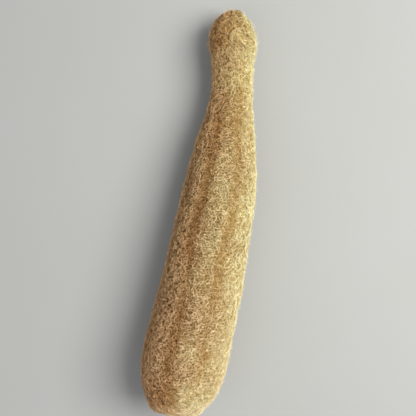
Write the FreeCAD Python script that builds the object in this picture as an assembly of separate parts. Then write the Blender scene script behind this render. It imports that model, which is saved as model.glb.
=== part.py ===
import FreeCAD, Part
import math
import os

# A whole natural loofah: the dried fibre skeleton of a luffa fruit, used as it grew.
# It lies on its side: Y runs from the blossom end (-Y) to the stem end (+Y), and Z is up.
# Everything is in millimetres, first measured from the blossom face and the ground plane,
# and moved at the end so that the origin is under the middle of the bounding box.

# Overall form
length = 450.0              # blossom face to stem tip
face_radius = 20.0          # the blunt blossom face
belly_radius = 47.6         # the widest place
waist_radius = 43.2         # the middle of the fruit
shoulder_radius = 38.2      # where it starts to narrow
neck_radius = 21.8          # the narrowest place below the head
head_radius = 25.4          # the knot at the stem end
tip_radius = 4.0            # the stem tip itself
blossom_side = -18.5        # sideways place of the axis at the blossom end
stem_side = 37.5            # sideways place of the axis at the stem end

# Layers of the wall, from outside in
net_thickness = 4.0         # outer net of round-about fibres
mat_thickness = 7.0         # springy mat of radial fibres
lining_thickness = 1.6      # lengthwise fibres that line the seed chambers

# Inside
core_radius = 7.0           # column along the axis
septum_thickness = 4.0      # each of the three partitions
septum_count = 3            # and as many seed chambers between them
septum_turn = 30.0          # degrees from straight up to the first partition
vein_count = 8              # lengthwise strands, and lobes of the outer net between them
vein_turn = -22.0           # degrees from straight up to the first strand, seen from the blossom end
vein_radius = 1.6           # lengthwise strands inside the mat
vein_cover = 1.2            # mat between a strand and the lining
mouth_radius = 15.0         # opening that the blossom cap leaves

# Lengthwise places
rim_depth = 14.0            # closed-in end around the mouth
plug_length = 80.0          # dense fibre that fills the neck below the head
head_length = 52.0          # knot at the stem end

# Resting
rest_depth = 1.2            # how far the underside is pressed flat
rest_shares = (0.15, 0.53)  # the two places along the length that carry it


def between(low, high, share):
    """The value a share of the way from low to high."""
    return low + (high - low) * share


# Each ring of the fruit: share of the length, share of the sideways bend, radius.
rings = [
    (0.000, 0.00, face_radius),
    (0.012, 0.00, between(face_radius, belly_radius, 0.25)),
    (0.035, -0.02, between(face_radius, belly_radius, 0.54)),
    (0.090, 0.00, between(face_radius, belly_radius, 0.90)),
    (0.150, 0.07, belly_radius),
    (0.270, 0.29, between(waist_radius, belly_radius, 0.72)),
    (0.430, 0.56, waist_radius),
    (0.585, 0.77, shoulder_radius),
    (0.700, 0.88, between(neck_radius, shoulder_radius, 0.50)),
    (0.760, 0.95, between(neck_radius, shoulder_radius, 0.19)),
    (0.822, 1.00, neck_radius),
    (0.880, 1.00, between(neck_radius, head_radius, 0.40)),
    (0.921, 1.00, head_radius),
    (0.961, 0.99, between(tip_radius, head_radius, 0.80)),
    (0.985, 1.00, between(tip_radius, head_radius, 0.42)),
    (1.000, 1.02, tip_radius),
]


def radius_at(share):
    """Outer radius at a share of the length, along straight lines between the rings."""
    for (low, _, low_radius), (high, _, high_radius) in zip(rings, rings[1:]):
        if low <= share <= high:
            return between(low_radius, high_radius, (share - low) / (high - low))
    raise ValueError("share outside the fruit")


def axis_height(share):
    """Height of the axis, so that the fruit lies on the two resting places."""
    low, high = rest_shares
    slope = (radius_at(high) - radius_at(low)) / (high - low)
    return radius_at(low) + slope * (share - low) - rest_depth


def ring_centre(share, bend):
    return FreeCAD.Vector(between(blossom_side, stem_side, bend), share * length, axis_height(share))


def loft(wires):
    return Part.makeLoft(wires, True, False)


def circle_wire(centre, radius):
    return Part.Wire(Part.makeCircle(radius, centre, FreeCAD.Vector(0, 1, 0)))


def radial(angle, distance):
    """A step away from the axis in a cross-section; angle 0 is straight up."""
    return FreeCAD.Vector(distance * math.sin(angle), 0, distance * math.cos(angle))


def fruit(inset, rows):
    """The solid of the fruit, inset from its outer face, through some of the rings."""
    return loft([circle_wire(ring_centre(share, bend), radius - inset) for share, bend, radius in rows])


def strand(angle, inset, radius, rows):
    """A round strand along the fruit, its centre inset from the outer face."""
    wires = []
    for share, bend, ring_radius in rows:
        centre = ring_centre(share, bend) + radial(angle, ring_radius - inset)
        wires.append(circle_wire(centre, radius))
    return loft(wires)


def partition(angle, rows):
    """A plate from the axis outwards, past the inner face of the wall."""
    wires = []
    for share, bend, ring_radius in rows:
        centre = ring_centre(share, bend)
        across = radial(angle + math.pi / 2, septum_thickness / 2)
        outward = radial(angle, ring_radius)
        corners = [centre - across, centre + across, centre + across + outward, centre - across + outward]
        wires.append(Part.makePolygon(corners + corners[:1]))
    return loft(wires)


def wedge(first_angle, last_angle, rows):
    """A slice from the axis out past the fruit, between two angles."""
    wires = []
    for share, bend, ring_radius in rows:
        centre = ring_centre(share, bend)
        corners = [centre] + [centre + radial(angle, 2 * ring_radius) for angle in (first_angle, last_angle)]
        wires.append(Part.makePolygon(corners + corners[:1]))
    return loft(wires)


def slab(start, end):
    """Everything above the ground between two distances from the blossom face."""
    wide = 4 * belly_radius + abs(stem_side - blossom_side)
    low_x = (blossom_side + stem_side - wide) / 2
    return Part.makeBox(wide, end - start, wide, FreeCAD.Vector(low_x, start, 0))


# Lengthwise places of the pieces
head_start = length - head_length
plug_start = head_start - plug_length
beyond = 10.0               # cutting solids reach past what they cut

# The hollow pieces only run through the rings between the blossom face and the tip.
wall_rows = rings[1:-1]
lining_inset = net_thickness + mat_thickness
chamber_inset = lining_inset + lining_thickness

whole = fruit(0, rings)
net_core = fruit(net_thickness, wall_rows)
lining_outside = fruit(lining_inset, wall_rows)
chamber_space = fruit(chamber_inset, rings[1:-2])
wall_slab = slab(rim_depth, head_start)
chamber_slab = slab(rim_depth, plug_start)
core = loft([circle_wire(ring_centre(share, bend), core_radius) for share, bend, _ in rings])

parts = {}

outer_net = whole.common(wall_slab).cut(net_core)
vein_inset = lining_inset - vein_cover - vein_radius
vein_step = 2 * math.pi / vein_count
veins = []
for number in range(vein_count):
    vein_angle = math.radians(vein_turn) + number * vein_step
    parts["net_lobe_%02d" % (number + 1)] = outer_net.common(wedge(vein_angle, vein_angle + vein_step, wall_rows))
    vein = strand(vein_angle, vein_inset, vein_radius, wall_rows).common(wall_slab)
    parts["vein_%02d" % (number + 1)] = vein
    veins.append(vein)

middle_mat = net_core.common(wall_slab).cut(lining_outside)
parts["middle_mat"] = middle_mat.cut(veins)

inner_lining = lining_outside.common(wall_slab).cut(chamber_space)
parts["core_column"] = core.common(chamber_slab)
septum_step = 2 * math.pi / septum_count
for number in range(septum_count):
    septum_angle = math.radians(septum_turn) + number * septum_step
    septum = partition(septum_angle, rings).common(chamber_space).common(chamber_slab).cut(core)
    parts["septum_%d" % (number + 1)] = septum
    chamber = wedge(septum_angle, septum_angle + septum_step, wall_rows)
    parts["chamber_lining_%d" % (number + 1)] = inner_lining.common(chamber)

parts["stem_plug"] = chamber_space.common(slab(plug_start, head_start))
parts["stem_head"] = whole.common(slab(head_start, length + beyond))

mouth = Part.makeCylinder(mouth_radius, rim_depth + 2 * beyond,
                          ring_centre(0, 0) - FreeCAD.Vector(0, beyond, 0), FreeCAD.Vector(0, 1, 0))
parts["blossom_rim"] = whole.common(slab(-beyond, rim_depth)).cut(mouth)

box = Part.Compound(list(parts.values())).optimalBoundingBox()
to_origin = FreeCAD.Vector(-box.Center.x, -box.Center.y, -box.ZMin)
os.makedirs("parts", exist_ok=True)
for name, shape in parts.items():
    shape.translate(to_origin)
    shape.exportStep("parts/%s.step" % name)
    solids = shape.Solids
    print("%-13s solids %d valid %s volume %.0f mm3" % (name, len(solids), shape.isValid(), shape.Volume))
print("overall %.1f x %.1f x %.1f mm" % (box.XLength, box.YLength, box.ZLength))
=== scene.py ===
import itertools
import math

import bpy
import numpy as np
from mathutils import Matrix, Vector
from mathutils.bvhtree import BVHTree


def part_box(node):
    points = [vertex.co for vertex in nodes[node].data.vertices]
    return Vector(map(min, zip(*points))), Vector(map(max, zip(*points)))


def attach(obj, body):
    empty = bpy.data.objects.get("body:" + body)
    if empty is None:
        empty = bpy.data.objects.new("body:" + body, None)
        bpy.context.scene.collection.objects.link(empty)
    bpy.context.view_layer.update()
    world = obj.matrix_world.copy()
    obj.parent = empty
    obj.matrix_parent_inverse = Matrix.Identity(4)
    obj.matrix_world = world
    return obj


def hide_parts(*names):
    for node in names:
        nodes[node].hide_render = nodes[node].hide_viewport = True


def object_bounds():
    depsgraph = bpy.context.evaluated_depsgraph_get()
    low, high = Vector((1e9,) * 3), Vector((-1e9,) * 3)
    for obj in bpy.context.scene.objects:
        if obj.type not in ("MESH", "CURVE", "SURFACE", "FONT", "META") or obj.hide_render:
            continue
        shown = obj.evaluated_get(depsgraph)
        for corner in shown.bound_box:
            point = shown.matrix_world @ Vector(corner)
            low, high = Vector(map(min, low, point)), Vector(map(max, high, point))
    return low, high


# A whole natural loofah: the dried fibre skeleton of a luffa fruit.
# Lengths are in millimetres until a mesh is made, and angles are in radians.
# A place on the fruit's skin is given by s, the distance along the profile from the face of
# the blossom end, turn, the angle round the axis from straight up towards +X, and height
# above the CAD skin. Headings are 0 along the fruit and a quarter turn around it.

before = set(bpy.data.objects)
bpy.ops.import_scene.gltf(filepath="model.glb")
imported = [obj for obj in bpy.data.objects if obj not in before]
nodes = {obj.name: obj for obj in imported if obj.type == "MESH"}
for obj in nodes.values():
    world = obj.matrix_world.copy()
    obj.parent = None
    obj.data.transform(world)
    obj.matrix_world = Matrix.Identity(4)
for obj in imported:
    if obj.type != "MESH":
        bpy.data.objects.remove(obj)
cad_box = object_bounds()

MM = 0.001
FULL_TURN = 2 * math.pi
HOOP = math.pi / 2
lobe_names = sorted(name for name in nodes if name.startswith("net_lobe"))
vein_names = sorted(name for name in nodes if name.startswith("vein"))
septum_names = sorted(name for name in nodes if name.startswith("septum"))
lining_names = sorted(name for name in nodes if name.startswith("chamber_lining"))


# ---------------------------------------------------------------- measures of the frame

def node_points(name):
    """A CAD node's vertices in millimetres."""
    mesh = nodes[name].data
    points = np.empty(len(mesh.vertices) * 3)
    mesh.vertices.foreach_get("co", points)
    return points.reshape(-1, 3) / MM


def skin_tree():
    """A search tree of the CAD nodes that make the fruit's outside."""
    points, triangles, start = [], [], 0
    for name in lobe_names + ["stem_head", "blossom_rim"]:
        mesh = nodes[name].data
        mesh.calc_loop_triangles()
        corners = np.empty(len(mesh.loop_triangles) * 3, np.int32)
        mesh.loop_triangles.foreach_get("vertices", corners)
        points.append(node_points(name))
        triangles.append(corners.reshape(-1, 3) + start)
        start += len(mesh.vertices)
    return BVHTree.FromPolygons(np.vstack(points).tolist(), np.vstack(triangles).tolist())


def measure_sections(places):
    """The skin's radius and the axis's X and Z at places along Y, from the middle outwards."""
    tree = skin_tree()
    far = 300.0
    count = len(places)
    radius, centre_x, centre_z = np.zeros(count), np.zeros(count), np.zeros(count)
    middle = count // 2
    for run in (range(middle, count), range(middle - 1, -1, -1)):
        x, z, half = (0.0, 40.0, 40.0) if run.step > 0 else (centre_x[middle], centre_z[middle], 0.0)
        for index in run:
            y = places[index]
            for _ in range(4):
                left = tree.ray_cast(Vector((-far, y, z)), Vector((1, 0, 0)))[0]
                right = tree.ray_cast(Vector((far, y, z)), Vector((-1, 0, 0)))[0]
                if left is None or right is None:
                    break
                x, half = (left.x + right.x) / 2, (right.x - left.x) / 2
                top = tree.ray_cast(Vector((x, y, far)), Vector((0, 0, -1)))[0]
                z = top.z - half
            radius[index], centre_x[index], centre_z[index] = half, x, z
    return radius, centre_x, centre_z


def soften(values, width):
    """A running Gaussian mean, width samples wide, that holds its end values."""
    reach = int(3 * width)
    weights = np.exp(-0.5 * (np.arange(-reach, reach + 1) / width) ** 2)
    padded = np.pad(values, reach, mode="edge")
    return np.convolve(padded, weights / weights.sum(), mode="valid")


END_GAP = 0.6
MIDDLE_REACH = 12
LOW_Y, HIGH_Y = cad_box[0].y / MM, cad_box[1].y / MM
places = np.linspace(LOW_Y + END_GAP, HIGH_Y - END_GAP, 300)
section_radius, section_x, section_z = measure_sections(places)
section_x, section_z = soften(section_x, 3), soften(section_z, 3)

RIM_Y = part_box("blossom_rim")[1].y / MM
HEAD_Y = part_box("stem_head")[0].y / MM
PLUG_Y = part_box("stem_plug")[0].y / MM


def mouth_radius():
    """The radius of the opening in the blossom end."""
    points = node_points("blossom_rim")
    face = points[points[:, 1] < LOW_Y + 1]
    return np.hypot(face[:, 0] - section_x[0], face[:, 2] - section_z[0]).min()


# The profile: from inside the mouth, round its lip, along the skin and in to the stem tip.
MOUTH = mouth_radius()
lip_y = [LOW_Y + 12, LOW_Y + 6, LOW_Y + 1.8, LOW_Y + 0.2]
lip_radius = [MOUTH - 1.5, MOUTH - 0.8, MOUTH + 0.4, MOUTH + 3.0]
raw_y = np.concatenate([lip_y, places, [HIGH_Y]])
raw_radius = np.concatenate([lip_radius, section_radius, [0.3]])
raw_s = np.concatenate([[0], np.cumsum(np.hypot(np.diff(raw_y), np.diff(raw_radius)))])
PROFILE_STEP = 0.5
profile_s = np.arange(0, raw_s[-1], PROFILE_STEP)
profile_y = soften(np.interp(profile_s, raw_s, raw_y), 4)
profile_radius = soften(np.interp(profile_s, raw_s, raw_radius), 4)
profile_s -= raw_s[len(lip_y) - 1]
slope_y, slope_radius = np.gradient(profile_y), np.gradient(profile_radius)
slope_length = np.hypot(slope_y, slope_radius)
normal_y, normal_radius = -slope_radius / slope_length, slope_y / slope_length
LIP_S, TIP_S = profile_s[0], profile_s[-1]


def s_at(y):
    """The profile distance of a place along Y, on the side of the fruit."""
    side = profile_s > 0
    return float(np.interp(y, profile_y[side], profile_s[side]))


RIM_S, HEAD_S, PLUG_S = s_at(RIM_Y), s_at(HEAD_Y), s_at(PLUG_Y)


def radius_at(s):
    """The CAD skin's radius at a profile distance."""
    return np.interp(s, profile_s, profile_radius)


def place(s, turn, height):
    """Points of the fruit from s, turn and height, as an array with a last axis of 3."""
    y = np.interp(s, profile_s, profile_y) + height * np.interp(s, profile_s, normal_y)
    radius = radius_at(s) + height * np.interp(s, profile_s, normal_radius)
    x = np.interp(y, places, section_x) + radius * np.sin(turn)
    z = np.interp(y, places, section_z) + radius * np.cos(turn)
    return np.stack([x, y, z], -1)


def outward(s, turn):
    """The skin's normals, near enough to set a tube's frame."""
    side = np.interp(s, profile_s, normal_radius)
    return np.stack([side * np.sin(turn), np.interp(s, profile_s, normal_y), side * np.cos(turn)], -1)


# ---------------------------------------------------------------- noise and relief

NOISE_SIZE = 64
noise_table = np.random.default_rng(11).uniform(-1, 1, (NOISE_SIZE,) * 3)


def noise(points, scale, seed=0):
    """Smooth random values from -1 to 1, with features about as wide as scale."""
    spot = points / scale + 13.7 * seed
    cell = np.floor(spot).astype(int)
    share = spot - cell
    share = share * share * (3 - 2 * share)
    total = np.zeros(points.shape[:-1])
    for corner in itertools.product((0, 1), repeat=3):
        x, y, z = np.moveaxis((cell + corner) % NOISE_SIZE, -1, 0)
        weight = np.prod(np.where(corner, share, 1 - share), -1)
        total += noise_table[x, y, z] * weight
    return total


def node_turn(name):
    """The angle round the axis at which a CAD node lies, at the middle of the fruit."""
    points = node_points(name)
    points = points[np.abs(points[:, 1]) < MIDDLE_REACH]
    x = points[:, 0].mean() - np.interp(0, places, section_x)
    z = points[:, 2].mean() - np.interp(0, places, section_z)
    return math.atan2(x, z)


# Each furrow: its vein's angle, its depth, and how brown it is coloured, partly by stain and partly as
# painted shade in the furrow. The first two are the clear ones.
vein_turns = [node_turn(name) for name in vein_names]
furrow_depths = [1.6, 1.2, 0.9, 0.9, 1.1, 1.0, 1.1, 1.0]
furrow_stain_and_shade = [1.6, 1.25, 0.15, 0.5, 0.8, 0.6, 0.8, 0.5]
FURROW_WIDTH, STAIN_AND_SHADE_WIDTH = 5.5, 6.5
DARKEST_STAIN_AND_SHADE = 3.0

# Rusty spots and pale patches: X, Y, radius, strength, and 1 for the upper side or -1 for
# the underside.
spots = [(8, -153, 4.0, 3.4, 1), (22, 186, 7, 2.6, 1), (27, 200, 10, 1.6, 1), (40, 214, 13, 1.0, 1),
         (30, 92, 10, 0.6, 1), (-34, -197, 13, 1.4, 1),
         (-12, -120, 7, 1.6, -1), (20, 40, 6, 1.2, -1), (44, 190, 8, 1.2, -1)]
pale_patches = [(-8, -150, 11, 0.4, 1), (-10, -196, 17, 0.55, 1), (-2, -75, 16, 0.15, 1),
                (38, 145, 12, 0.35, 1),
                (15, -100, 30, 0.3, -1), (30, 90, 22, 0.2, -1)]


def around(turn):
    """An angle brought between minus and plus half a turn."""
    return (turn + math.pi) % FULL_TURN - math.pi


def furrows(s, turn, amounts=furrow_depths, width=FURROW_WIDTH):
    """How far into a furrow a place is: 0 on the lobes, and the furrow's amount at the bottom."""
    total = np.zeros(np.broadcast(s, turn).shape)
    fade = np.clip((s - 25) / 60, 0, 1) * np.clip((HEAD_S + 10 - s) / 90, 0, 1)
    for number, (vein, depth) in enumerate(zip(vein_turns, amounts)):
        drift = 0.07 * np.sin(s / 47 + 2.1 * number) + 0.04 * np.sin(s / 19 + number)
        away = around(turn - vein - drift) * radius_at(s)
        patchy = 0.8 + 0.3 * np.sin(s / 31 + 1.7 * number)
        total += depth * patchy * np.exp(-(away / width) ** 2)
    return total * fade


def patches(base, turn, wanted):
    """The sum of round patches on the skin, each strongest at its middle."""
    total = np.zeros(turn.shape)
    for x, y, radius, strength, side in wanted:
        away = np.hypot(base[..., 0] - x, base[..., 1] - y) / radius
        total += strength * np.exp(-away ** 2) * (side * np.cos(turn) * 4).clip(0, 1)
    return total


def stain_and_furrow_shade(s, turn):
    """How brown and dark a place is: rusty spots and mottled stain, and along the furrows partly stain and
    partly painted shading.
    """
    base = place(s, turn, 0)
    return (furrows(s, turn, furrow_stain_and_shade, STAIN_AND_SHADE_WIDTH) + patches(base, turn, spots)
            + 0.25 * noise(base, 11, 17).clip(0, 1))


# The head's creases seen from above, and three like them underneath: points across the head,
# in head radii from the axis, and along it, from 0 at its start to 1 at the tip.
HEAD_RADIUS = (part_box("stem_head")[1].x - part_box("stem_head")[0].x) / 2 / MM
HEAD_LENGTH = HIGH_Y - HEAD_Y
upper_creases = [
    [(-0.20, 0.36), (-0.12, 0.45), (0.05, 0.53), (0.30, 0.58), (0.52, 0.56), (0.62, 0.38)],
    [(-0.25, 0.17), (0.00, 0.24), (0.25, 0.23), (0.50, 0.13)],
    [(0.15, 0.68), (0.45, 0.60), (0.80, 0.47)],
    [(-0.95, 0.36), (-0.60, 0.44), (-0.30, 0.37), (-0.18, 0.28)],
]
lower_creases = [
    [(-0.70, 0.30), (-0.30, 0.46), (0.15, 0.40), (0.45, 0.25)],
    [(-0.50, 0.62), (0.00, 0.70), (0.50, 0.60)],
    [(0.20, 0.10), (0.60, 0.22), (0.90, 0.42)],
]
CREASE_DEPTH, CREASE_WIDTH = 2.3, 1.3


def crease_distance(across, along, crease):
    """Distance in millimetres from places on the head to a crease."""
    spots = np.stack([across * HEAD_RADIUS, along * HEAD_LENGTH], -1)
    corners = np.array(crease) * [HEAD_RADIUS, HEAD_LENGTH]
    nearest = np.full(spots.shape[:-1], 1e9)
    for start, end in zip(corners, corners[1:]):
        leg = end - start
        share = ((spots - start) @ leg / (leg @ leg)).clip(0, 1)
        away = np.linalg.norm(spots - start - share[..., None] * leg, axis=-1)
        nearest = np.minimum(nearest, away)
    return nearest


def creases(s, turn):
    """How far into a crease of the head a place is, as furrows() is for the lobes."""
    total = np.zeros(np.broadcast(s, turn).shape)
    along = (np.interp(s, profile_s, profile_y) - HEAD_Y) / HEAD_LENGTH
    near = along > -0.1
    along = np.broadcast_to(along, total.shape)[near]
    angle = np.broadcast_to(turn, total.shape)[near]
    across = np.broadcast_to(radius_at(s), total.shape)[near] / HEAD_RADIUS * np.sin(angle)
    depth = np.zeros(along.shape)
    for lines, side in ((upper_creases, 1), (lower_creases, -1)):
        facing = (side * np.cos(angle) * 4 + 0.5).clip(0, 1)
        for crease in lines:
            away = crease_distance(across, along, crease)
            groove = np.exp(-(away / CREASE_WIDTH) ** 2) - 0.35 * np.exp(-((away - 3.2) / 1.5) ** 2)
            depth = np.maximum(depth, 0) + facing * groove
    total[near] = CREASE_DEPTH * depth
    return total


def gathers(s, turn, base):
    """The folds that gather the head in to its tip."""
    share = ((s - TIP_S + 42) / 34).clip(0, 1)
    fold = np.cos(9 * turn + 1.5 * noise(base, 17, 8)) + 0.6 * np.cos(5 * turn + 2.0)
    ragged = 2.2 * noise(base, 9, 9) * ((s - TIP_S + 30) / 20).clip(0, 1)
    return share * (1.6 * fold + ragged)


def blossom_form(s, turn):
    """How the blossom end is cut: slanting, square at its -X corner and bevelled at the other."""
    inwards = (np.interp(s, profile_s, profile_y) - LOW_Y).clip(0)
    side = np.sin(turn)
    slant = -5.0 * ((1 - side) / 2) ** 0.8 * (1 - inwards / 9).clip(0, 1)
    corner = -2.6 * side * np.exp(-((inwards - 12) / 6) ** 2)
    bevel = -2.4 * side.clip(0) * np.exp(-((inwards - 5) / 5) ** 2)
    return slant + corner + bevel


LUMPS = [(0.9, 34, 1), (0.6, 14, 2), (0.35, 4.5, 25)]     # height, width and seed
SWELLING = 0.3


def relief(s, turn):
    """Height of the grown skin above the CAD skin."""
    base = place(s, turn, 0)
    lumps = sum(height * noise(base, width, seed) for height, width, seed in LUMPS)
    calm = np.clip((s - 5) / 25, 0.3, 1)
    return (lumps * calm - furrows(s, turn) - creases(s, turn) + gathers(s, turn, base)
            + blossom_form(s, turn) + SWELLING)


# ---------------------------------------------------------------- pores

PORE_PITCH = 3.2
pore_jitter = np.random.default_rng(12).uniform(-0.25, 0.25, (512, 512, 3))


def open_pores(s, turn, size):
    """Moves places over the skin aside from the nearest pore of the net."""
    row = np.floor((s - LIP_S) / PORE_PITCH).astype(int)
    nearest = np.full(s.shape, 1e9)
    push_s, push_arc, width = np.zeros(s.shape), np.zeros(s.shape), np.zeros(s.shape)
    for row_step in (-1, 0, 1):
        this_row = row + row_step
        row_radius = radius_at(LIP_S + (this_row + 0.5) * PORE_PITCH).clip(3)
        count = np.round(FULL_TURN * row_radius / PORE_PITCH).astype(int)
        cell = np.floor(turn / FULL_TURN * count - 0.5 * (this_row % 2)).astype(int)
        for column_step in (-1, 0, 1):
            column = cell + column_step
            jitter = pore_jitter[this_row % 512, (column % count) % 512]
            pore_s = LIP_S + (this_row + 0.5 + jitter[..., 0]) * PORE_PITCH
            pore_turn = (column + 0.5 + 0.5 * (this_row % 2) + jitter[..., 1]) / count * FULL_TURN
            away_s, away_arc = s - pore_s, (turn - pore_turn) * row_radius
            away = np.hypot(away_s, away_arc)
            closer = away < nearest
            nearest = np.where(closer, away, nearest)
            push_s = np.where(closer, away_s, push_s)
            push_arc = np.where(closer, away_arc, push_arc)
            width = np.where(closer, size * (1 + jitter[..., 2]), width)
    further = (nearest ** 3 + width ** 3) ** (1 / 3) / nearest.clip(0.05) - 1
    return s + push_s * further, turn + push_arc * further / radius_at(s).clip(3)


# ---------------------------------------------------------------- meshes

def new_mesh(name, points, corners, sizes, attributes):
    """A mesh object from points in millimetres, the faces' corners in a row and their numbers."""
    mesh = bpy.data.meshes.new(name)
    mesh.vertices.add(len(points))
    mesh.vertices.foreach_set("co", (points * MM).astype(np.float32).ravel())
    mesh.loops.add(len(corners))
    mesh.loops.foreach_set("vertex_index", corners.astype(np.int32))
    mesh.polygons.add(len(sizes))
    starts = np.concatenate([[0], np.cumsum(sizes)[:-1]])
    mesh.polygons.foreach_set("loop_start", starts.astype(np.int32))
    mesh.polygons.foreach_set("loop_total", sizes.astype(np.int32))
    mesh.update(calc_edges=True)
    mesh.shade_smooth()
    for key, values in attributes.items():
        layer = mesh.attributes.new(key, "FLOAT", "POINT")
        layer.data.foreach_set("value", values.astype(np.float32).ravel())
    piece = bpy.data.objects.new(name, mesh)
    bpy.context.scene.collection.objects.link(piece)
    return piece


def merge(parts):
    """Joins (points, list of face arrays, attributes) parts into what new_mesh takes."""
    points, corners, sizes, attributes, start = [], [], [], {}, 0
    for part_points, part_faces, part_attributes in parts:
        points.append(part_points)
        for faces in part_faces:
            corners.append((faces + start).ravel())
            sizes.append(np.full(len(faces), faces.shape[1]))
        start += len(part_points)
        for key, values in part_attributes.items():
            attributes.setdefault(key, []).append(values.ravel())
    attributes = {key: np.concatenate(values) for key, values in attributes.items()}
    return np.vstack(points), np.concatenate(corners), np.concatenate(sizes), attributes


def grid_faces(rows, columns, wrap_rows=False, wrap_columns=True):
    """Quads of a grid of points, (row, column), closed across the way that is wrapped."""
    row = np.arange(rows if wrap_rows else rows - 1)[:, None]
    column = np.arange(columns if wrap_columns else columns - 1)[None, :]
    next_row, next_column = (row + 1) % rows * columns, (column + 1) % columns
    row = row * columns
    return np.stack([row + column, next_row + column, next_row + next_column, row + next_column],
                    -1).reshape(-1, 4)


def surface(points, wrap_rows=False, wrap_columns=True, **values):
    """A part from a grid of points, (row, column, 3), and its values."""
    rows, columns, _ = points.shape
    faces = grid_faces(rows, columns, wrap_rows, wrap_columns)
    return points.reshape(-1, 3), [faces], {key: value.ravel() for key, value in values.items()}


def tubes(lines, normals, radii, tone, depth, shade, bleach, sides=3):
    """Closed tubes along lines. lines is (fibre, point, 3) and the values are (fibre, point)."""
    count, steps, _ = lines.shape
    along = np.gradient(lines, axis=1)
    along /= np.linalg.norm(along, axis=2, keepdims=True) + 1e-9
    across = np.cross(along, normals)
    across /= np.linalg.norm(across, axis=2, keepdims=True) + 1e-9
    up = np.cross(across, along)
    angle = (np.arange(sides) + 0.5) / sides * FULL_TURN
    ring = np.cos(angle)[:, None] * across[:, :, None, :] + np.sin(angle)[:, None] * up[:, :, None, :]
    points = lines[:, :, None, :] + radii[:, :, None, None] * ring
    fibre = np.arange(count)[:, None, None] * steps * sides
    step = np.arange(steps - 1)[None, :, None] * sides
    here = np.arange(sides)[None, None, :]
    after = (here + 1) % sides
    walls = [fibre + step + here, fibre + step + after]
    walls += [walls[1] + sides, walls[0] + sides]
    first = np.arange(count)[:, None] * steps * sides
    last = first + (steps - 1) * sides
    faces = [np.stack(walls, -1).reshape(-1, 4), first + np.arange(sides)[::-1], last + np.arange(sides)]
    values = {"tone": tone, "depth": depth, "shade": shade, "bleach": bleach}
    return points.reshape(-1, 3), faces, {key: np.repeat(v.ravel(), sides) for key, v in values.items()}


# ---------------------------------------------------------------- fibres

def wander(rng, start_s, start_turn, heading, steps, step, curl, memory, pull=0.0):
    """Random curly walks over the skin: s and turn, each (fibre, point). The pull brings their
    headings back to round the fruit."""
    s, turn = np.empty((len(start_s), steps)), np.empty((len(start_s), steps))
    here_s, here_turn, heading = start_s.copy(), start_turn.copy(), heading.copy()
    bend = rng.normal(0, curl, len(start_s))
    for index in range(steps):
        s[:, index], turn[:, index] = here_s, here_turn
        bend = memory * bend + curl * math.sqrt(1 - memory ** 2) * rng.normal(size=len(start_s))
        heading += (bend + pull * np.sin(2 * heading)) * step
        here_s = here_s + step * np.cos(heading)
        here_turn = here_turn + step * np.sin(heading) / np.maximum(radius_at(here_s), 4)
    return s, turn


def spread_over(rng, count, low_s, high_s, low_turn, high_turn):
    """Starting places, evenly by area and without clumps."""
    grid = np.linspace(low_s, high_s, 400)
    reach = np.cumsum(radius_at(grid))
    reach = (reach - reach[0]) / (reach[-1] - reach[0])
    order = np.arange(count)
    share = (order + rng.random(count)) / count
    golden = (order * 0.6180339887 + rng.normal(0, 0.02, count)) % 1
    return np.interp(share, reach, grid), low_turn + golden * (high_turn - low_turn)


def bleached(s, turn):
    """How pale and golden the fibres are: bleaching in drifting patches, and painted light that makes
    the +X side, toward the key light, paler and the shaded -X side browner.
    """
    base = place(s, turn, 0)
    drift = 0.2 * noise(base, 30, 12) + 0.08 * noise(base, 9, 13)
    # Painted light and shade: the sin(turn) term makes the +X side, toward the key light, paler and the
    # shaded -X side browner.
    return (0.4 + 0.52 * np.sin(turn) + drift + patches(base, turn, pale_patches)).clip(0, 1)


# Painted shade darkens the fibres below this level, over this depth.
SURFACE_LEVEL, DARK_DEPTH = 0.45, 3.3     # fibres darken from this level, over this depth
THICKNESS_SPREAD, END_TAPER = 0.16, 0.55
FLOOR_GAP = 0.05


def laid(rng, s, turn, low, high, swing, wave, dive, thick, pore=0.0, sides=3):
    """Tubes for walks over the skin, which weave up and down between the layers. Each starts at
    a level from low to high, swings once in wave steps and dives in at its ends."""
    if pore:
        s, turn = open_pores(s, turn, pore)
    count, steps = s.shape
    share = np.linspace(0, 1, steps)[None, :]
    run = np.cumsum(np.ones((count, steps)), 1)
    phase = rng.uniform(0, FULL_TURN, (count, 1))
    level = rng.uniform(low, high, (count, 1))
    height = level + swing * np.sin(phase + run * FULL_TURN / wave) - dive * (2 * share - 1) ** 6
    lines = place(s, turn, height + relief(s, turn))
    radii = rng.normal(thick, THICKNESS_SPREAD * thick, (count, 1)).clip(0.6 * thick, 1.7 * thick)
    radii = radii * (1 - END_TAPER * np.abs(2 * share - 1) ** 3)
    lines[..., 2] = np.maximum(lines[..., 2], radii + FLOOR_GAP)
    # Painted highlight and shade: fibres on the lobes get a paler tone and those along the furrows a darker
    # one, partly with the furrows' brown stain.
    bulge = 0.12 - 0.1 * furrows(s, turn, furrow_stain_and_shade, STAIN_AND_SHADE_WIDTH)
    tone = (rng.random((count, 1)) + bulge).clip(0, 1)
    # Depth below the surface level; the material turns it into painted shade.
    depth = ((SURFACE_LEVEL - height) / DARK_DEPTH).clip(0, 1)
    # Painted shade in the head's creases and in the valleys of its gathered folds.
    folds = 1.5 * creases(s, turn) - 0.6 * gathers(s, turn, place(s, turn, 0)).clip(-3, 0)
    shade = ((stain_and_furrow_shade(s, turn) + folds) / DARKEST_STAIN_AND_SHADE).clip(0, 1)
    return tubes(lines, outward(s, turn), radii, tone, depth, shade, bleached(s, turn), sides)


# ---------------------------------------------------------------- materials

# How much paler the painted shade far below the surface is on a golden fibre than on a brown one: red,
# green, blue.
DEEP_SHADE_LIFT = (2.05, 2.8, 3.5)
ROUGHNESS_SPREAD = 0.12


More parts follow.
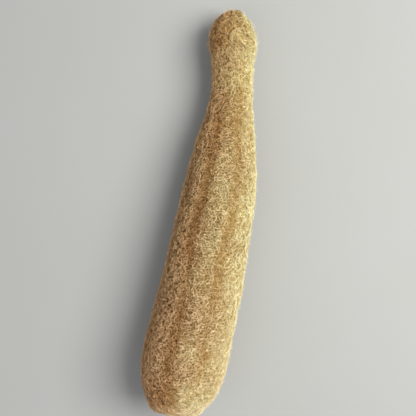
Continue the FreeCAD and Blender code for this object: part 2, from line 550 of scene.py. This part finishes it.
def fibre_material(name, brown, golden, painted_deep_shade, roughness):
    """Dry plant fibre: a tone per fibre, from brown to golden with bleaching and with painted light on the
    +X side, darker with painted shading below the surface and with stain and painted shading in the
    furrows and creases. The third colour is that painted shading far below the surface, on a brown fibre."""
    material = bpy.data.materials.new(name)
    material.use_nodes = True
    tree = material.node_tree
    shader = tree.nodes["Principled BSDF"]
    shader.inputs["Specular IOR Level"].default_value = 0.25
    shader.inputs["Sheen Weight"].default_value = 0.06

    def node(kind, **settings):
        made = tree.nodes.new(kind)
        for key, value in settings.items():
            setattr(made, key, value)
        return made

    def blend(mode, amount, first, second):
        made = node("ShaderNodeMix", data_type="RGBA", blend_type=mode)
        for socket, value in (("Factor", amount), ("A", first), ("B", second)):
            inputs = [i for i in made.inputs if i.name == socket and i.enabled]
            if isinstance(value, bpy.types.NodeSocket):
                tree.links.new(value, inputs[0])
            else:
                inputs[0].default_value = value
        return [o for o in made.outputs if o.enabled][0]

    def ramp(source, stops):
        made = node("ShaderNodeValToRGB")
        tree.links.new(source, made.inputs[0])
        elements = made.color_ramp.elements
        while len(elements) < len(stops):
            elements.new(0.5)
        for element, (position, colour) in zip(elements, stops):
            element.position = position
            element.color = (*colour, 1)
        return made.outputs[0]

    def cloud(size_mm, detail):
        made = node("ShaderNodeTexNoise")
        made.inputs["Scale"].default_value = 1 / (size_mm * MM)
        made.inputs["Detail"].default_value = detail
        tree.links.new(coordinates.outputs["Object"], made.inputs["Vector"])
        return made.outputs["Fac"]

    coordinates = node("ShaderNodeTexCoord")
    tone = node("ShaderNodeAttribute", attribute_name="tone").outputs["Fac"]
    depth = node("ShaderNodeAttribute", attribute_name="depth").outputs["Fac"]
    shade = node("ShaderNodeAttribute", attribute_name="shade").outputs["Fac"]
    bleach = node("ShaderNodeAttribute", attribute_name="bleach").outputs["Fac"]
    # Brown to golden, partly from real bleaching and partly painted light on the +X side.
    colour = ramp(bleach, [(0.0, brown), (0.9, golden)])
    each = ramp(tone, [(0.0, (0.55, 0.45, 0.37)), (0.3, (0.94, 0.92, 0.87)), (0.7, (1.06, 1.06, 1.06)),
                       (1.0, (1.42, 1.50, 1.70))])
    colour = blend("MULTIPLY", 1.0, colour, each)
    mottle = ramp(cloud(6, 4), [(0.3, (0.93, 0.89, 0.84)), (0.6, (1.0, 1.0, 1.0))])
    colour = blend("MULTIPLY", 0.8, colour, mottle)
    # Darker and browner for rusty stains, for stain and painted shade along the furrows, and for painted
    # shade in the head's creases.
    stain_and_shade_tint = ramp(shade, [(0.03, (1, 1, 1)), (0.32, (0.82, 0.68, 0.54)), (0.85, (0.62, 0.42, 0.26))])
    colour = blend("MULTIPLY", 1.0, colour, stain_and_shade_tint)
    along = node("ShaderNodeSeparateXYZ")
    tree.links.new(coordinates.outputs["Object"], along.inputs[0])
    run = node("ShaderNodeMapRange")
    run.inputs["From Min"].default_value = cad_box[0].y
    run.inputs["From Max"].default_value = cad_box[1].y
    tree.links.new(along.outputs["Y"], run.inputs["Value"])
    hue = ramp(run.outputs["Result"], [(0.1, (1.03, 0.98, 1.02)), (0.45, (1, 1, 1)),
                                       (0.8, (1.01, 1.0, 0.93))])
    colour = blend("MULTIPLY", 1.0, colour, hue)
    # Painted shade: fibres below the surface are mixed toward a dark brown, lighter on golden fibres.
    below = ramp(depth, [(0.0, (0, 0, 0)), (0.75, (1, 1, 1))])
    golden_deep_shade = [channel * lift for channel, lift in zip(painted_deep_shade, DEEP_SHADE_LIFT)]
    colour = blend("MIX", below, colour, ramp(bleach, [(0.15, painted_deep_shade), (0.95, golden_deep_shade)]))
    tree.links.new(colour, shader.inputs["Base Color"])
    rough = node("ShaderNodeMapRange")
    rough.inputs["To Min"].default_value = roughness - ROUGHNESS_SPREAD
    rough.inputs["To Max"].default_value = roughness + ROUGHNESS_SPREAD
    tree.links.new(cloud(1.5, 3), rough.inputs["Value"])
    tree.links.new(rough.outputs["Result"], shader.inputs["Roughness"])
    return material


outer_fibre = fibre_material("outer_fibre", brown=(0.71, 0.455, 0.22), golden=(0.81, 0.75, 0.435),
                             painted_deep_shade=(0.28, 0.145, 0.03), roughness=0.72)
knot_fibre = fibre_material("knot_fibre", brown=(0.51, 0.33, 0.14), golden=(0.66, 0.56, 0.29),
                            painted_deep_shade=(0.25, 0.13, 0.03), roughness=0.75)
mat_fibre = fibre_material("mat_fibre", brown=(0.36, 0.20, 0.065), golden=(0.60, 0.43, 0.18),
                           painted_deep_shade=(0.18, 0.09, 0.024), roughness=0.85)
inner_fibre = fibre_material("inner_fibre", brown=(0.58, 0.43, 0.23), golden=(0.78, 0.66, 0.40),
                             painted_deep_shade=(0.30, 0.18, 0.07), roughness=0.70)


def finish_piece(name, parts, material, slot, *replaced):
    """Makes a piece of its parts and ties it to the frame."""
    piece = new_mesh(name, *merge(parts))
    piece.data.materials.append(material)
    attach(piece, "root")
    if replaced:
        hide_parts(*replaced)
    return piece


# ---------------------------------------------------------------- the net lobes

BODY_START = RIM_S - 4
BODY_END = HEAD_S + 4


def net_layer(rng, low_turn, high_turn, layer):
    """One layer of a lobe: curly fibres that run mostly round the fruit."""
    low, high, density, thick, curl, step, steps, pore = layer
    grid = np.linspace(BODY_START, BODY_END, 400)
    area = radius_at(grid).mean() * (BODY_END - BODY_START) * (high_turn - low_turn)
    count = int(area / 100 * density)
    start_s, start_turn = spread_over(rng, count, BODY_START, BODY_END, low_turn, high_turn)
    heading = rng.choice([-HOOP, HOOP], count) + rng.normal(0, 0.6, count)
    s, turn = wander(rng, start_s, start_turn, heading, steps, step, curl, 0.72, 0.22)
    s = s.clip(BODY_START - 6, BODY_END + 8)
    return laid(rng, s, turn, low, high, 0.45, 5.5, 1.1, thick, pore)


# Each layer: lowest and highest level, fibres per 100 square mm, half thickness, curl in
# radians per mm, the length and number of steps, and the size of the pores.
under_layers = [(-3.1, -1.9, 4.0, 0.33, 0.40, 1.2, 13, 0.9), (-2.0, -1.0, 7.5, 0.26, 0.55, 1.0, 14, 1.0)]
upper_layers = [(-1.1, -0.2, 9.5, 0.21, 0.70, 0.8, 14, 1.1), (-0.5, 0.7, 10.5, 0.20, 0.85, 0.75, 14, 1.05)]

for number, name in enumerate(lobe_names):
    rng = np.random.default_rng(100 + number)
    low_turn = vein_turns[number]
    high_turn = low_turn + FULL_TURN / len(vein_turns)
    for label, layers in ((name, upper_layers), (name.replace("lobe", "underlayer"), under_layers)):
        parts = [net_layer(rng, low_turn, high_turn, layer) for layer in layers]
        finish_piece(label, parts, outer_fibre, "outer_fibre", name)


# ---------------------------------------------------------------- the layers inside

def grid_places(low_s, high_s, rows, columns, low_turn=0.0, high_turn=FULL_TURN, wrap=True):
    """A grid of s and turn, each (row, column)."""
    s = np.linspace(low_s, high_s, rows)[:, None]
    turn = np.linspace(low_turn, high_turn, columns, endpoint=not wrap)[None, :]
    return np.broadcast_arrays(s, turn)


def pitted(s, turn, height, pit):
    """A surface under the fibres: its points, and the values that darken its pits with painted shading."""
    base = place(s, turn, 0)
    pits = pit * (noise(base, 2.4, 5) + 0.7 * noise(base, 1.3, 6))
    points = place(s, turn, height + relief(s, turn) + pits)
    points[..., 2] = np.maximum(points[..., 2], 0.3 - 0.1 * pits)
    # Painted shade: low pits get a darker tone and a greater depth value.
    values = {"tone": (0.5 + 0.4 * pits).clip(0, 1), "depth": (0.55 - 0.5 * pits).clip(0, 1),
              "shade": (stain_and_furrow_shade(s, turn) / DARKEST_STAIN_AND_SHADE).clip(0, 1), "bleach": bleached(s, turn)}
    return points, values


# Faces inside the fruit; their depth value darkens them with painted shade.
HIDDEN_VALUES = {"tone": 0.5, "depth": 0.6, "shade": 0.0, "bleach": 0.3}


def closed_shell(outer, values, inner):
    """A part from an outer grid with its values and an inner grid with as many columns."""
    points = np.concatenate([outer, inner[::-1]])
    values = {key: np.concatenate([value, np.full(inner.shape[:2], HIDDEN_VALUES[key])])
              for key, value in values.items()}
    return surface(points, wrap_rows=True, **values)


MAT_DEPTH, LINING_OUTER, LINING_INNER = 3.4, 11.0, 12.6

s, turn = grid_places(RIM_S, HEAD_S, 280, 160)
outer, values = pitted(s, turn, -MAT_DEPTH, 0.6)
mat = finish_piece("middle_mat", [closed_shell(outer, values, place(s, turn, -LINING_OUTER))], mat_fibre,
                   "mat_fibre", "middle_mat")


def straight_run(rng, count, low_s, high_s, length, steps, low_turn, high_turn, sway):
    """Walks that run mostly along the fruit and sway a little."""
    start = rng.uniform(low_s, max(low_s + 0.1, high_s - length), (count, 1))
    s = start + np.linspace(0, length, steps)[None, :]
    phase = rng.uniform(0, FULL_TURN, (count, 2, 1))
    swing = np.sin(phase[:, 0] + s / rng.uniform(4, 9, (count, 1))) + np.sin(phase[:, 1] + s / 17)
    turn = rng.uniform(low_turn, high_turn, (count, 1)) + sway * swing / np.maximum(radius_at(s), 8)
    return s.clip(low_s, high_s), turn


CHAMBER_TURN = FULL_TURN / len(lining_names)
for number, name in enumerate(lining_names):
    rng = np.random.default_rng(300 + number)
    middle_turn = node_turn(name)
    low_turn, high_turn = middle_turn - CHAMBER_TURN / 2, middle_turn + CHAMBER_TURN / 2
    s, turn = grid_places(RIM_S, HEAD_S, 130, 26, low_turn, high_turn, wrap=False)
    ripple = 0.3 * noise(place(s, turn, 0), 3.0, 15)
    inner, outer = place(s, turn, -LINING_INNER + ripple), place(s, turn, -LINING_OUTER)
    ones = np.ones(s.shape)
    around_it = np.concatenate([inner, outer[:, ::-1]], axis=1)
    values = {"tone": 0.5 + ripple, "depth": 0.35 * ones, "shade": 0 * ones, "bleach": 0.5 * ones}
    values = {key: np.concatenate([value, value[:, ::-1]], axis=1) for key, value in values.items()}
    body = surface(around_it, **values)
    run_s, run_turn = straight_run(rng, 150, RIM_S, HEAD_S, 90, 34, low_turn, high_turn, 1.6)
    lines = place(run_s, run_turn, -LINING_INNER - rng.uniform(-0.2, 0.6, (150, 1)))
    ones = np.ones(run_s.shape)
    fibres = tubes(lines, outward(run_s, run_turn), 0.32 * ones, rng.random((150, 1)) * ones, 0.05 * ones,
                   0 * ones, 0.6 * ones)
    finish_piece(name, [body, fibres], inner_fibre, "lining_fibre", name)


# ---------------------------------------------------------------- core and partitions

CORE_RADIUS = 7.0


def axis_point(y, turn, reach):
    """Points a distance out from the axis at places along Y."""
    x = np.interp(y, places, section_x) + reach * np.sin(turn)
    z = np.interp(y, places, section_z) + reach * np.cos(turn)
    return np.stack([x, y, z], -1)


def inner_tubes(rng, lines, normals, thick, bleach):
    """Tapered tubes for fibres inside the fruit, each with its own tone."""
    ones = np.ones(lines.shape[:2])
    tone = rng.random((len(lines), 1)) * ones
    taper = 1 - 0.5 * np.abs(np.linspace(-1, 1, lines.shape[1])) ** 3
    # The small depth value gives these fibres inside a little painted shade.
    return tubes(lines, normals, thick * taper * ones, tone, 0.08 * ones, 0 * ones, bleach * ones)


def core_column():
    """The column: a body, fibres along it and round it, and some over its end in the mouth."""
    rng = np.random.default_rng(400)
    y = np.linspace(RIM_Y, PLUG_Y, 120)[:, None]
    turn = np.linspace(0, FULL_TURN, 18, endpoint=False)[None, :]
    y, turn = np.broadcast_arrays(y, turn)
    reach = 4.6 + 0.6 * noise(axis_point(y, turn, 4.6), 3.0, 20)
    reach[0], reach[-1] = 0.3, 0.3
    ones = np.ones(y.shape)
    body = surface(axis_point(y, turn, reach), tone=0.5 * ones, depth=0.45 * ones, shade=0 * ones,
                   bleach=0.4 * ones)
    parts = [body]
    for count, length, steps, twist in ((110, 60, 26, 0.004), (160, 14, 16, 0.16)):
        start = rng.uniform(RIM_Y, PLUG_Y - length, (count, 1))
        y = start + np.linspace(0, length, steps)[None, :]
        phase = rng.uniform(0, FULL_TURN, (count, 1))
        turn = phase + rng.choice([-1, 1], (count, 1)) * twist * (y - start) + 0.3 * np.sin(y / 5 + phase)
        reach = rng.uniform(4.4, CORE_RADIUS - 0.3, (count, 1)) + 0.5 * np.sin(y / 3 + 2 * phase)
        normals = axis_point(y, turn, 1.0) - axis_point(y, turn, 0.0)
        parts.append(inner_tubes(rng, axis_point(y, turn, reach), normals, 0.33, 0.6))
    start, steps = rng.uniform(0, FULL_TURN, (90, 1)), 14
    share = np.linspace(-1, 1, steps)[None, :]
    turn = start + np.sign(share) * HOOP * (1 - np.exp(-3 * np.abs(share)))
    reach = np.hypot(rng.uniform(0.3, 4.5, (90, 1)), 4.5 * share).clip(0, CORE_RADIUS - 1)
    y = RIM_Y + rng.uniform(-0.5, 0.2, (90, 1)) + 0 * share
    normals = np.broadcast_to(np.array([0.0, -1.0, 0.0]), (90, steps, 3))
    parts.append(inner_tubes(rng, axis_point(y, turn, reach), normals, 0.3, 0.6))
    return finish_piece("core_column", parts, inner_fibre, "core_fibre", "core_column")


def septum(number, name):
    """A net of curly fibres in the plate between two seed chambers."""
    rng = np.random.default_rng(420 + number)
    turn = node_turn(name)
    count, steps, step = 420, 26, 1.5
    y = rng.uniform(RIM_Y, PLUG_Y, count)
    reach = rng.uniform(CORE_RADIUS - 2, 34, count)
    heading = rng.uniform(0, FULL_TURN, count)
    side = rng.uniform(-1.6, 1.6, count)
    walk = np.empty((count, steps, 2))
    bend = rng.normal(0, 0.25, count)
    for index in range(steps):
        walk[:, index] = np.stack([y, reach], -1)
        bend = 0.75 * bend + 0.16 * rng.normal(size=count)
        heading = heading + bend * step
        y, reach = y + step * np.cos(heading), reach + step * np.sin(heading)
    y = walk[..., 0].clip(RIM_Y, PLUG_Y)
    wall = radius_at(np.interp(y, profile_y[profile_s > 0], profile_s[profile_s > 0])) - LINING_INNER
    reach = walk[..., 1].clip(CORE_RADIUS - 2, wall)
    lines = axis_point(y, turn, reach)
    flat = np.array([math.cos(turn), 0, -math.sin(turn)])
    ripple = side[:, None] + 0.5 * np.sin(np.arange(steps)[None, :] * 0.9 + 9 * side[:, None])
    lines = lines + ripple[..., None] * flat
    normals = np.broadcast_to(flat, lines.shape)
    return finish_piece(name, [inner_tubes(rng, lines, normals, 0.34, 0.6)], inner_fibre, "core_fibre", name)


core_column()
for number, name in enumerate(septum_names):
    septum(number, name)


# ---------------------------------------------------------------- veins and neck plug

VEIN_INSET = 8.2
for number, name in enumerate(vein_names):
    rng = np.random.default_rng(500 + number)
    s = np.linspace(RIM_S, HEAD_S, 130)[None, :]
    turn = vein_turns[number] + 0.02 * np.sin(s / 13 + number)
    lines = place(s, turn, -VEIN_INSET + 0.4 * np.sin(s / 9 + number))
    ones = np.ones(s.shape)
    thick = 1.35 + 0.2 * noise(lines, 5, 21)
    strand = tubes(lines, outward(s, turn), thick, 0.5 * ones, 0.2 * ones, 0 * ones, 0.2 * ones, sides=10)
    start_s, start_turn = rng.uniform(RIM_S + 6, HEAD_S - 6, 70), np.full(70, vein_turns[number])
    heading = rng.choice([-HOOP, HOOP], 70) + rng.normal(0, 0.5, 70)
    s, turn = wander(rng, start_s, start_turn, heading, 14, 1.2, 0.3, 0.7)
    lines = place(s, turn, -VEIN_INSET + np.linspace(0, 3, 14)[None, :])
    finish_piece(name, [strand, inner_tubes(rng, lines, outward(s, turn), 0.35, 0.3)], knot_fibre,
                 "vein_fibre", name)


def disc_rows(s, turn, low, high, rows):
    """Rows that close a surface at s, from one height to another."""
    return [place(np.full(turn.shape, s), turn, np.full(turn.shape, height))
            for height in np.linspace(low, high, rows)]


def plug():
    """The dense fibre in the neck, closed at both ends."""
    rng = np.random.default_rng(600)
    s, turn = grid_places(PLUG_S, HEAD_S, 60, 40)
    bulk = place(s, turn, -LINING_INNER + 0.3 * noise(place(s, turn, 0), 3, 22))
    first = disc_rows(PLUG_S, turn[0], -float(radius_at(PLUG_S)) + 0.4, -LINING_INNER, 5)
    last = disc_rows(HEAD_S, turn[0], -LINING_INNER, -float(radius_at(HEAD_S)) + 0.4, 4)
    points = np.concatenate([np.array(first), bulk, np.array(last)])
    ones = np.ones(points.shape[:2])
    body = surface(points, tone=0.5 * ones, depth=0.4 * ones, shade=0 * ones, bleach=0.4 * ones)
    start_s, start_turn = spread_over(rng, 500, PLUG_S + 4, HEAD_S - 4, 0, FULL_TURN)
    s, turn = wander(rng, start_s, start_turn, rng.uniform(0, FULL_TURN, 500), 14, 1.2, 0.4, 0.7)
    s = s.clip(PLUG_S, HEAD_S)
    lines = place(s, turn, -LINING_INNER - rng.uniform(0, 0.5, (500, 1)))
    return finish_piece("stem_plug", [body, inner_tubes(rng, lines, outward(s, turn), 0.3, 0.5)],
                        knot_fibre, "knot_fibre", "stem_plug")


plug()


# ---------------------------------------------------------------- the stem head

BACKING_DEPTH, BACKING_PITS = 2.5, 0.45
# Each layer: lowest and highest level, fibres, half thickness, curl in radians per mm, and the
# length and number of steps.
head_layers = [(-1.9, -0.8, 750, 0.25, 0.40, 1.0, 14), (-0.8, 0.6, 1450, 0.19, 0.65, 0.8, 14)]


def head():
    """The knot: a pitted backing with its fibres, creases and gathered tip, and over it the net."""
    rng = np.random.default_rng(700)
    s, turn = grid_places(HEAD_S - 1, TIP_S, 90, 110)
    skin, values = pitted(s, turn, -BACKING_DEPTH, BACKING_PITS)
    start = disc_rows(HEAD_S - 1, turn[0], -float(radius_at(HEAD_S)) + 0.4, -4.0, 6)
    points = np.concatenate([np.array(start), skin])
    values = {key: np.concatenate([np.full((len(start), 110), HIDDEN_VALUES[key]), value])
              for key, value in values.items()}
    knot, net = [surface(points, **values)], []
    for parts, layer in zip((knot, net), head_layers):
        low, high, count, thick, curl, step, steps = layer
        start_s, start_turn = spread_over(rng, count, HEAD_S - 4, TIP_S - 2, 0, FULL_TURN)
        near_tip = ((start_s - HEAD_S) / (TIP_S - HEAD_S)).clip(0, 1)
        heading = np.where(rng.random(count) < near_tip ** 1.5, 0.0, HOOP) + rng.normal(0, 0.45, count)
        heading += math.pi * rng.integers(0, 2, count)
        s, turn = wander(rng, start_s, start_turn, heading, steps, step, curl, 0.8)
        s = s.clip(HEAD_S - 8, TIP_S - 0.6)
        parts.append(laid(rng, s, turn, low, high, 0.35, 6, 0.9, thick, 0.8))
    for crease in upper_creases:
        knot.append(crease_bundle(rng, crease, 8))
    knot.append(gathered_fibres(rng, 260))
    knot.append(tip_curls(rng))
    finish_piece("stem_head", knot, knot_fibre, "knot_fibre", "stem_head")
    finish_piece("stem_head_net", net, knot_fibre, "knot_fibre", "stem_head")


def crease_bundle(rng, crease, count):
    """Long fibres laid side by side along a crease of the head."""
    steps = 26
    corners = np.array(crease)
    share = np.linspace(0, 1, len(corners))
    spots = np.stack([np.interp(np.linspace(0, 1, steps), share, corners[:, axis]) for axis in (0, 1)], -1)
    spots[:, 0], spots[:, 1] = soften(spots[:, 0], 1.5), soften(spots[:, 1], 1.5)
    offset = rng.normal(0, 1.6, (count, 1, 2)) / [HEAD_RADIUS, HEAD_LENGTH]
    spots = spots[None] + offset + 0.012 * np.sin(np.arange(steps) * 0.7)[None, :, None]
    y = HEAD_Y + spots[..., 1] * HEAD_LENGTH
    side = profile_s > 0
    s = np.interp(y, profile_y[side], profile_s[side])
    turn = np.arcsin((spots[..., 0] * HEAD_RADIUS / radius_at(s)).clip(-0.98, 0.98))
    return laid(rng, s, turn, 0.0, 0.7, 0.2, 9, 1.2, 0.23)


def gathered_fibres(rng, count):
    """Long fibres that run down from the tip with the folds."""
    steps = 26
    share = np.linspace(0, 1, steps)[None, :]
    s = TIP_S - rng.uniform(1, 16, (count, 1)) - share * rng.uniform(12, 26, (count, 1))
    start = rng.uniform(0, FULL_TURN, (count, 1))
    turn = start + 0.35 * rng.normal(size=(count, 1)) * share + 0.06 * np.sin(9 * share + 7 * start)
    return laid(rng, s, turn, -0.5, 0.5, 0.3, 9, 1.4, 0.24)


def tip_curls(rng):
    """Loose fibres that curl off the stem tip."""
    count, steps = 26, 26
    share = np.linspace(0, 1, steps)[None, :]
    phase = rng.uniform(0, FULL_TURN, (count, 1))
    centre = place(np.full((count, 1), TIP_S - 4.0), phase, np.full((count, 1), 0.0))
    size = rng.uniform(1.0, 2.4, (count, 1))
    sweep = phase + share * rng.uniform(2.5, 5.0, (count, 1))
    offset = np.stack([size * np.cos(sweep), 1.5 * share * size + 0.6 * size * np.sin(sweep),
                       size * np.sin(sweep + phase)], -1)
    lines = centre + offset
    ones = np.ones((count, steps))
    normals = np.broadcast_to(np.array([0.0, 0.0, 1.0]), lines.shape)
    return tubes(lines, normals, 0.22 * ones, rng.uniform(0.5, 1, (count, 1)) * ones, 0 * ones, 0 * ones,
                 0.8 * ones)


head()


# ---------------------------------------------------------------- the blossom rim

rim_layers = [(-1.9, -0.9, 650, 0.27, 0.40, 1.0, 13), (-0.9, 0.6, 1250, 0.21, 0.75, 0.75, 14)]


def rim():
    """The closed-in end: a pitted backing and two layers of fibres, from inside the mouth."""
    rng = np.random.default_rng(800)
    s, turn = grid_places(LIP_S, RIM_S + 1, 40, 130)
    skin, values = pitted(s, turn, -BACKING_DEPTH, BACKING_PITS)
    parts = [surface(skin, wrap_rows=True, **values)]
    for low, high, count, thick, curl, step, steps in rim_layers:
        start_s, start_turn = spread_over(rng, count, LIP_S + 3, RIM_S + 4, 0, FULL_TURN)
        heading = rng.choice([0.0, HOOP], count, p=[0.35, 0.65]) + rng.normal(0, 0.6, count)
        heading += math.pi * rng.integers(0, 2, count)
        s, turn = wander(rng, start_s, start_turn, heading, steps, step, curl, 0.75)
        s = s.clip(LIP_S + 1, RIM_S + 8)
        parts.append(laid(rng, s, turn, low, high, 0.4, 5.5, 0.9, thick, 0.85))
    return finish_piece("blossom_rim", parts, outer_fibre, "outer_fibre", "blossom_rim")


rim()


# ---------------------------------------------------------------- loose fibres

# Each kind: how many, the number and length of steps, curl in radians per mm, how far the end
# stands off, and where along the profile they begin. The first kind lies flat.
loose_kinds = [(150, 26, 1.3, 0.12, 0.2, BODY_START),
               (2200, 10, 0.8, 0.35, 2.0, RIM_S - 12),
               (520, 14, 0.9, 0.35, 3.4, HEAD_S - 40)]
LOOSE_THICKNESS = 0.22


def loose_fibres():
    """Long pale fibres that lie on the net, and hairs that stand off it."""
    rng = np.random.default_rng(900)
    parts = []
    for count, steps, step, curl, lift, start in loose_kinds:
        start_s, start_turn = spread_over(rng, count, start, TIP_S - 15, 0, FULL_TURN)
        s, turn = wander(rng, start_s, start_turn, rng.uniform(0, FULL_TURN, count), steps, step, curl, 0.85)
        s = s.clip(BODY_START, TIP_S - 4)
        share = np.linspace(0, 1, steps)[None, :]
        height = 0.5 + lift * rng.uniform(0.3, 1.3, (count, 1)) * share ** 1.5
        if lift < 1:
            height = 0.7 - 1.6 * (2 * share - 1) ** 8
        lines = place(s, turn, height + relief(s, turn))
        lines[..., 2] = np.maximum(lines[..., 2], 0.25)
        ones = np.ones(s.shape)
        tone = rng.uniform(0.3, 0.95, (count, 1)) * ones
        radii = LOOSE_THICKNESS * (1 - 0.5 * share) * ones
        parts.append(tubes(lines, outward(s, turn), radii, tone, 0 * ones,
                           (0.5 * stain_and_furrow_shade(s, turn) / DARKEST_STAIN_AND_SHADE).clip(0, 1), bleached(s, turn)))
    return finish_piece("loose_fibres", parts, outer_fibre, "outer_fibre")


loose_fibres()

# ---------------------------------------------------------------- floor, light and camera

floor_material = bpy.data.materials.new("pale_floor")
floor_material.use_nodes = True
floor_tree = floor_material.node_tree
floor_shader = floor_tree.nodes["Principled BSDF"]
floor_shader.inputs["Roughness"].default_value = 0.9
floor_place = floor_tree.nodes.new("ShaderNodeTexCoord")
floor_noise = floor_tree.nodes.new("ShaderNodeTexNoise")
floor_noise.inputs["Scale"].default_value = 7
floor_noise.inputs["Detail"].default_value = 6
floor_colour = floor_tree.nodes.new("ShaderNodeValToRGB")
floor_colour.color_ramp.elements[0].color = (0.335, 0.34, 0.325, 1)
floor_colour.color_ramp.elements[1].color = (0.355, 0.36, 0.352, 1)
floor_tree.links.new(floor_place.outputs["Object"], floor_noise.inputs["Vector"])
floor_tree.links.new(floor_noise.outputs["Fac"], floor_colour.inputs[0])
floor_tree.links.new(floor_colour.outputs[0], floor_shader.inputs["Base Color"])
bpy.ops.mesh.primitive_plane_add(size=60, location=(0, 0, 0))
floor = bpy.context.object
floor.name = "pale_floor"
floor.data.materials.append(floor_material)


def area_light(name, position, target, size, power, colour):
    """A soft square light that points at its target."""
    data = bpy.data.lights.new(name, "AREA")
    data.size = size
    data.energy = power
    data.color = colour
    light = bpy.data.objects.new(name, data)
    light.location = position
    light.rotation_euler = (Vector(target) - Vector(position)).to_track_quat("-Z", "Y").to_euler()
    bpy.context.scene.collection.objects.link(light)
    return light


area_light("key", (0.95, 0.15, 1.35), (0, 0, 0.03), 1.1, 42, (1.0, 0.98, 0.94))
area_light("fill", (-0.9, -0.8, 1.6), (0, 0, 0.03), 1.6, 6, (0.93, 0.96, 1.0))
world = bpy.data.worlds.new("soft_room")
world.use_nodes = True
world.node_tree.nodes["Background"].inputs["Color"].default_value = (0.95, 0.97, 1.0, 1)
world.node_tree.nodes["Background"].inputs["Strength"].default_value = 0.45
bpy.context.scene.world = world
bpy.context.scene.view_settings.view_transform = "Standard"

camera_data = bpy.data.cameras.new("camera")
camera_data.lens = 60
camera_data.sensor_width = 36
camera = bpy.data.objects.new("camera", camera_data)
VIEW_WIDTH, WIDEST_HEIGHT = 0.462, 0.045     # what the view takes in, at the fruit's axis
camera_height = WIDEST_HEIGHT + VIEW_WIDTH * camera_data.lens / camera_data.sensor_width
camera.location = (0.0103, 0.0031, camera_height)
bpy.context.scene.collection.objects.link(camera)
bpy.context.scene.camera = camera
